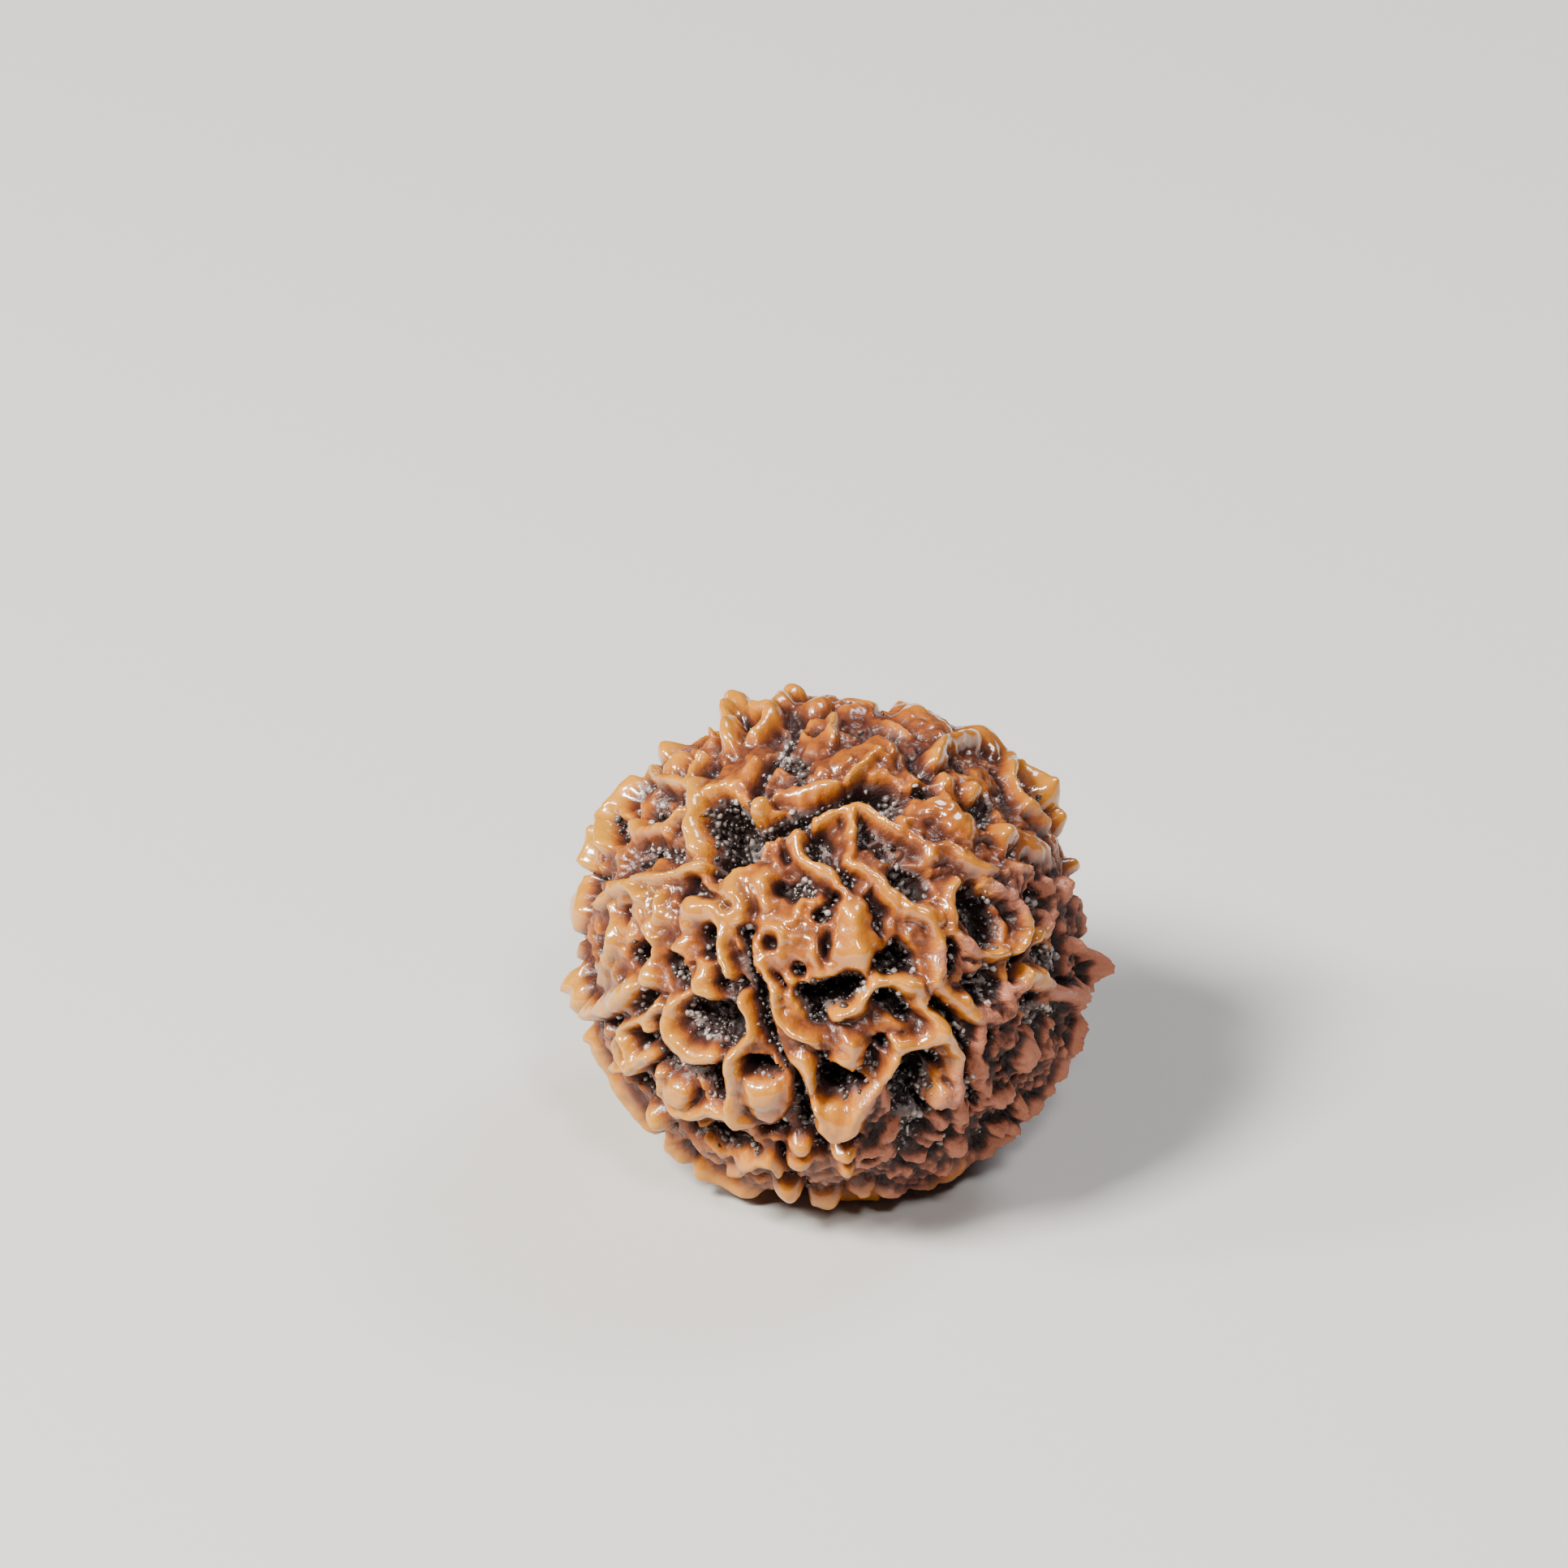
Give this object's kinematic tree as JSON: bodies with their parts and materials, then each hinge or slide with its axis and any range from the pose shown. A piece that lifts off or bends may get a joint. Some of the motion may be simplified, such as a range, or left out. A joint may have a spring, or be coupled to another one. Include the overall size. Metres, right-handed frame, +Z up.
{
  "type": "rudraksha bead",
  "caption": "Dried rudraksha fruit stone, a knobbly ridged and pitted brown ball with seed lines from a sunken pole and a small flat spot to rest on.",
  "frame": {"origin": "on the surface the bead rests on, under the middle of the stone's body", "axes": "+Z up, -Y towards the side the picture shows, +X to the picture's right"},
  "size_m": [0.0211, 0.0203, 0.0183],
  "materials": {
    "oiled_stone": "oiled, glossy on the ridges and dull in the pits"
  },
  "bodies": {
    "root": {"rudraksha_bead": "oiled_stone"}
  },
  "joints": []
}
